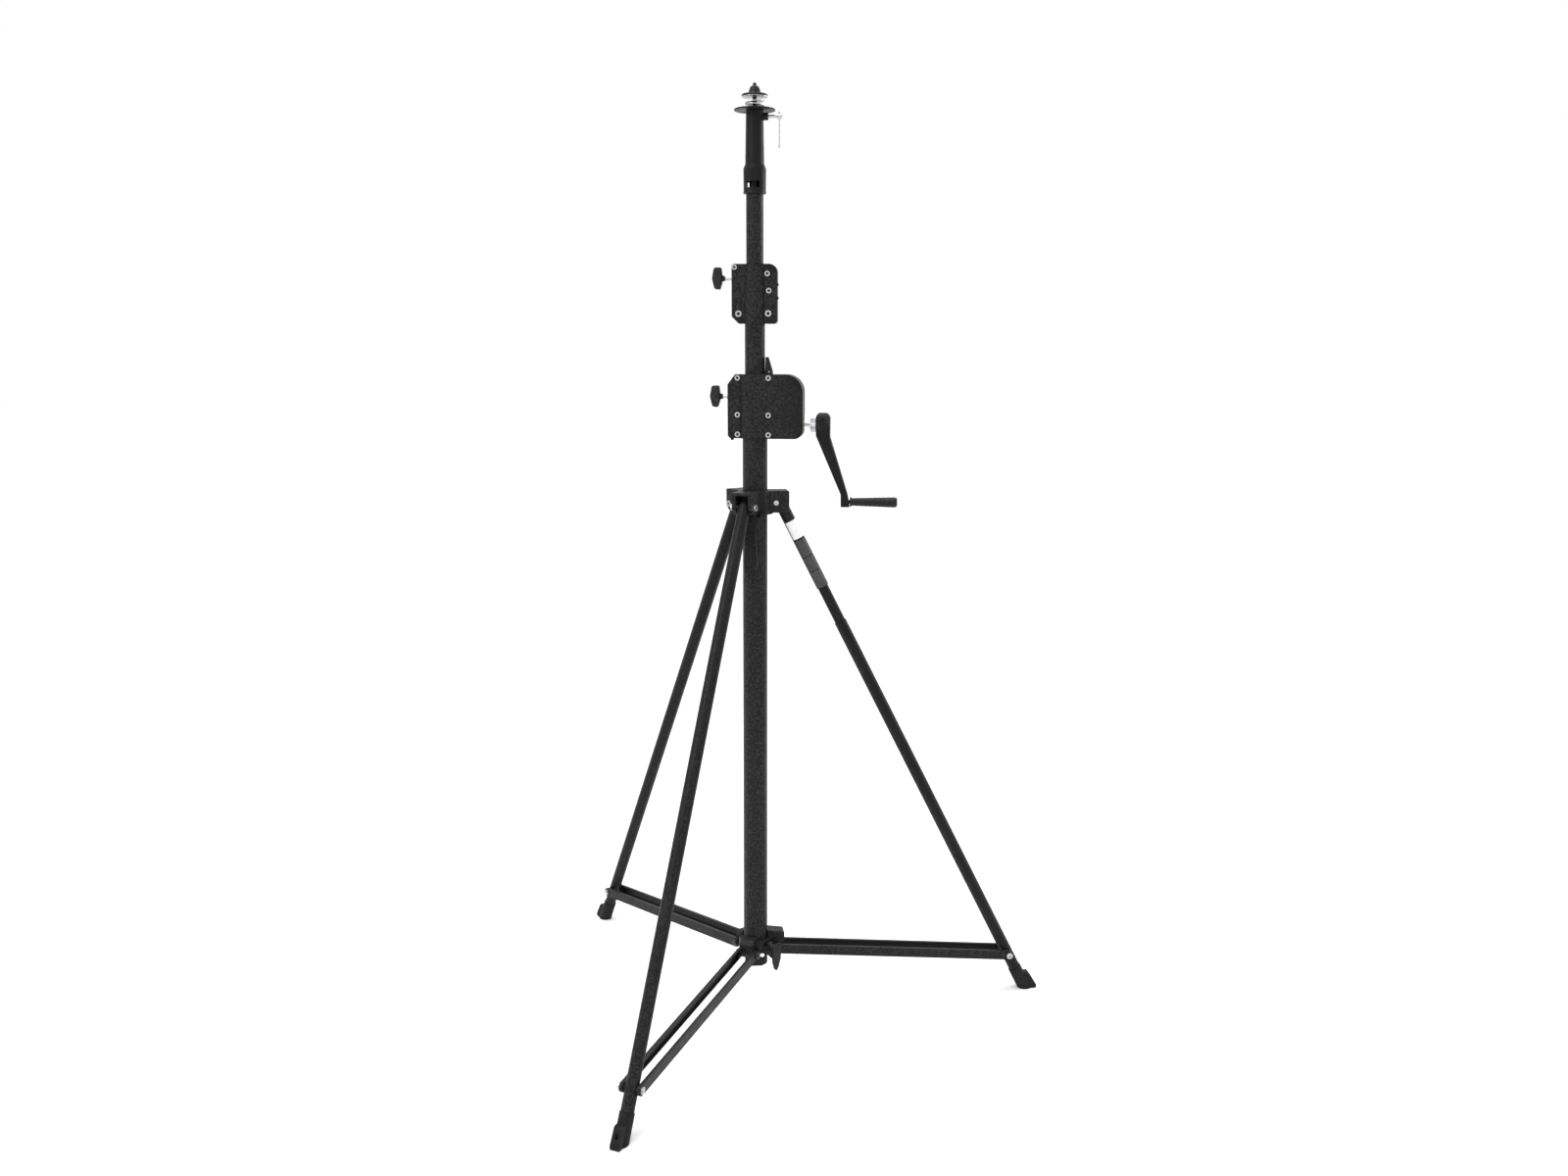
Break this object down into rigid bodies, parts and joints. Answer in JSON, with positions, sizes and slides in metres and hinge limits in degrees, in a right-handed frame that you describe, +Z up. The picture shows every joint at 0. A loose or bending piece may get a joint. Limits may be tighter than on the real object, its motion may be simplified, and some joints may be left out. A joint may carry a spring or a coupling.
{
  "type": "crank lighting stand",
  "caption": "Wind-up lighting stand with a worm winch, telescoping risers, a socket and clamp nut at the top, folding braced tripod legs, one of them levelling.",
  "frame": {"origin": "on the floor, on the axis of the mast", "axes": "+Z up along the mast; +X from the mast towards the crank; +Y away from the side with the lower collar's latch"},
  "size_m": [1.0535, 1.0429, 1.894],
  "materials": {
    "black_metal": "fine-textured satin powder coat",
    "bright_steel": "zinc plated",
    "black_steel": "black oxide",
    "aluminium": "machined",
    "black_plastic": "moulded",
    "black_rubber": "moulded",
    "bronze": "machined"
  },
  "bodies": {
    "mast": {"main_tube": "black_metal", "main_tube_end_plug": "black_plastic", "main_guide_bush": "black_plastic", "winch_front_cover": "black_metal", "winch_rear_cover": "black_metal", "winch_cover_bolts": "bright_steel", "winch_pins": "bright_steel", "crank_shaft_bushes": "bronze", "upper_leg_collar": "black_metal", "leg_pivot_bolts": "bright_steel", "lift_cable": "bright_steel", "stage_cable_outer": "bright_steel"},
    "riser_1": {"riser_1_tube": "black_metal", "riser_1_foot": "black_plastic", "riser_1_guide_bush": "black_plastic", "head_box_front": "black_metal", "head_box_rear": "black_metal", "head_box_bolts": "bright_steel", "stage_cable_inner": "bright_steel"},
    "riser_2": {"riser_2_tube": "black_metal", "riser_2_foot": "black_plastic", "head_socket": "black_metal"},
    "adapter": {"lamp_adapter": "black_metal", "adapter_stud": "black_steel", "loose_washers": "aluminium"},
    "top_washer": {"clamp_washer": "aluminium"},
    "top_nut": {"clamp_nut": "black_plastic"},
    "spigot_pad": {"spigot_pad": "black_plastic"},
    "t_screw": {"t_screw": "bright_steel"},
    "tommy_bar": {"tommy_bar": "bright_steel"},
    "crank": {"crank_shaft": "bright_steel", "crank_nut": "bright_steel", "crank_arm": "black_metal"},
    "grip": {"crank_grip": "black_plastic"},
    "drum": {"cable_drum": "aluminium", "cable_winding": "bright_steel", "worm_wheel": "bronze"},
    "lift_pulley": {"lift_pulley": "aluminium"},
    "stage_pulley": {"stage_pulley": "aluminium"},
    "winch_pad": {"winch_lock_pad": "black_plastic"},
    "winch_knob": {"winch_lock_knob": "black_plastic"},
    "head_pad": {"head_lock_pad": "black_plastic"},
    "head_knob": {"head_lock_knob": "black_plastic"},
    "clamp_lever": {"clamp_lever": "black_metal"},
    "leg_left": {"leg_left": "black_metal", "leg_left_foot": "black_rubber"},
    "leg_front": {"leg_front": "black_metal", "leg_front_foot": "black_rubber"},
    "levelling_leg": {"levelling_leg_upper": "black_metal"},
    "levelling_foot": {"levelling_leg_lower": "black_metal", "levelling_leg_foot": "black_rubber"},
    "lower_collar": {"lower_leg_collar": "black_metal", "collar_bolts": "black_steel"},
    "brace_left": {"brace_left": "black_metal", "brace_left_outer_bolts": "bright_steel"},
    "brace_front": {"brace_front": "black_metal", "brace_front_outer_bolts": "bright_steel"},
    "levelling_brace": {"levelling_brace": "black_metal", "levelling_brace_outer_bolts": "bright_steel"},
    "collar_latch": {"collar_latch": "black_metal"}
  },
  "joints": [
    {"name": "crank_turn", "type": "hinge", "parent": "mast", "child": "crank", "pos_m": [0.12, 0.014, 1.237], "axis": [-1, 0, 0], "range_deg": [0, 38197.19]},
    {"name": "crank_grip_spin", "type": "hinge", "parent": "crank", "child": "grip", "pos_m": [0.24, 0.014, 1.082], "axis": [1, 0, 0], "continuous": true},
    {"name": "drum_turn", "type": "hinge", "parent": "mast", "child": "drum", "pos_m": [0.06775, 0, 1.271], "axis": [0, -1, 0], "range_deg": [0, 3188.1]},
    {"name": "lift_pulley_turn", "type": "hinge", "parent": "mast", "child": "lift_pulley", "pos_m": [0.03575, 0, 1.298], "axis": [0, 1, 0], "range_deg": [0, 4097.56]},
    {"name": "riser_1_lift", "type": "slide", "parent": "mast", "child": "riser_1", "axis": [0, 0, 1], "range_m": [0, 1.0001], "deforming": ["lift_cable", "stage_cable_outer"]},
    {"name": "riser_2_lift", "type": "slide", "parent": "riser_1", "child": "riser_2", "axis": [0, 0, 1], "range_m": [0, 1.0001], "deforming": ["stage_cable_inner"]},
    {"name": "stage_pulley_turn", "type": "hinge", "parent": "riser_1", "child": "stage_pulley", "pos_m": [0, 0.026, 1.499], "axis": [-1, 0, 0], "range_deg": [0, 7166.97]},
    {"name": "adapter_lift_out", "type": "slide", "parent": "riser_2", "child": "adapter", "axis": [0, 0, 1], "range_m": [0, 0.08]},
    {"name": "top_nut_turn", "type": "hinge", "parent": "top_washer", "child": "top_nut", "pos_m": [0, 0, 1.87], "axis": [0, 0, 1], "range_deg": [0, 1440]},
    {"name": "top_nut_lift", "type": "slide", "parent": "adapter", "child": "top_washer", "axis": [0, 0, 1], "range_m": [0, 0.00501]},
    {"name": "t_screw_turn", "type": "hinge", "parent": "spigot_pad", "child": "t_screw", "pos_m": [0.03, 0, 1.831], "axis": [-1, 0, 0], "range_deg": [0, 1080]},
    {"name": "t_screw_travel", "type": "slide", "parent": "riser_2", "child": "spigot_pad", "axis": [1, 0, 0], "range_m": [0, 0.00301]},
    {"name": "tommy_bar_slide", "type": "slide", "parent": "t_screw", "child": "tommy_bar", "axis": [0, 0, 1], "range_m": [0, 0.048]},
    {"name": "winch_knob_turn", "type": "hinge", "parent": "winch_pad", "child": "winch_knob", "pos_m": [-0.06, 0, 1.293], "axis": [1, 0, 0], "range_deg": [0, 720]},
    {"name": "winch_knob_travel", "type": "slide", "parent": "mast", "child": "winch_pad", "axis": [-1, 0, 0], "range_m": [0, 0.00251]},
    {"name": "head_knob_turn", "type": "hinge", "parent": "head_pad", "child": "head_knob", "pos_m": [-0.06, 0, 1.524], "axis": [1, 0, 0], "range_deg": [0, 720]},
    {"name": "head_knob_travel", "type": "slide", "parent": "riser_1", "child": "head_pad", "axis": [-1, 0, 0], "range_m": [0, 0.00251]},
    {"name": "clamp_lever_swing", "type": "hinge", "parent": "mast", "child": "clamp_lever", "pos_m": [-0.00529, -0.03763, 1.058], "axis": [-0.1392, -0.9903, 0], "range_deg": [0, 30]},
    {"name": "lower_collar_slide", "type": "slide", "parent": "mast", "child": "lower_collar", "axis": [0, 0, 1], "range_m": [0, 0.3491]},
    {"name": "leg_left_fold", "type": "hinge", "parent": "mast", "child": "leg_left", "pos_m": [-0.03818, 0.03818, 1.075], "axis": [-0.7071, -0.7071, 0], "range_deg": [0, 24.5]},
    {"name": "leg_front_fold", "type": "hinge", "parent": "mast", "child": "leg_front", "pos_m": [-0.01579, -0.05164, 1.075], "axis": [0.9563, -0.2924, 0], "range_deg": [0, 24.5]},
    {"name": "levelling_leg_fold", "type": "hinge", "parent": "mast", "child": "levelling_leg", "pos_m": [0.05262, 0.01215, 1.075], "axis": [-0.225, 0.9744, 0], "range_deg": [0, 24.5]},
    {"name": "brace_left_fold", "type": "hinge", "parent": "lower_collar", "child": "brace_left", "pos_m": [-0.0297, 0.0297, 0.128], "axis": [-0.7071, -0.7071, 0], "range_deg": [0, 78.81]},
    {"name": "brace_front_fold", "type": "hinge", "parent": "lower_collar", "child": "brace_front", "pos_m": [-0.01228, -0.04016, 0.128], "axis": [0.9563, -0.2924, 0], "range_deg": [0, 78.81]},
    {"name": "levelling_brace_fold", "type": "hinge", "parent": "lower_collar", "child": "levelling_brace", "pos_m": [0.04092, 0.00945, 0.128], "axis": [-0.225, 0.9744, 0], "range_deg": [0, 78.81]},
    {"name": "levelling_leg_extend", "type": "slide", "parent": "levelling_leg", "child": "levelling_foot", "axis": [0.4393, 0.1014, -0.8926], "range_m": [0, 0.2]},
    {"name": "collar_latch_swing", "type": "hinge", "parent": "lower_collar", "child": "collar_latch", "pos_m": [0.03802, -0.02763, 0.13], "axis": [-0.5878, -0.809, 0], "range_deg": [0, 20]}
  ],
  "couplings": [
    {"joint": "drum_turn", "follows": "crank_turn", "ratio": 0.083333},
    {"joint": "lift_pulley_turn", "follows": "crank_turn", "ratio": 0.10714},
    {"joint": "riser_1_lift", "follows": "crank_turn", "m_per_rad": 0.0015},
    {"joint": "riser_2_lift", "follows": "crank_turn", "m_per_rad": 0.0015},
    {"joint": "stage_pulley_turn", "follows": "crank_turn", "ratio": 0.1875},
    {"joint": "top_nut_lift", "follows": "top_nut_turn", "m_per_rad": 0.00019894},
    {"joint": "t_screw_travel", "follows": "t_screw_turn", "m_per_rad": 0.00015915},
    {"joint": "winch_knob_travel", "follows": "winch_knob_turn", "m_per_rad": 0.00019894},
    {"joint": "head_knob_travel", "follows": "head_knob_turn", "m_per_rad": 0.00019894},
    {"joint": "leg_left_fold", "follows": "lower_collar_slide", "rad_per_m": 1.2249},
    {"joint": "leg_front_fold", "follows": "lower_collar_slide", "rad_per_m": 1.2249},
    {"joint": "levelling_leg_fold", "follows": "lower_collar_slide", "rad_per_m": 1.2249},
    {"joint": "brace_left_fold", "follows": "lower_collar_slide", "rad_per_m": 3.9399},
    {"joint": "brace_front_fold", "follows": "lower_collar_slide", "rad_per_m": 3.9399},
    {"joint": "levelling_brace_fold", "follows": "lower_collar_slide", "rad_per_m": 3.9399}
  ]
}
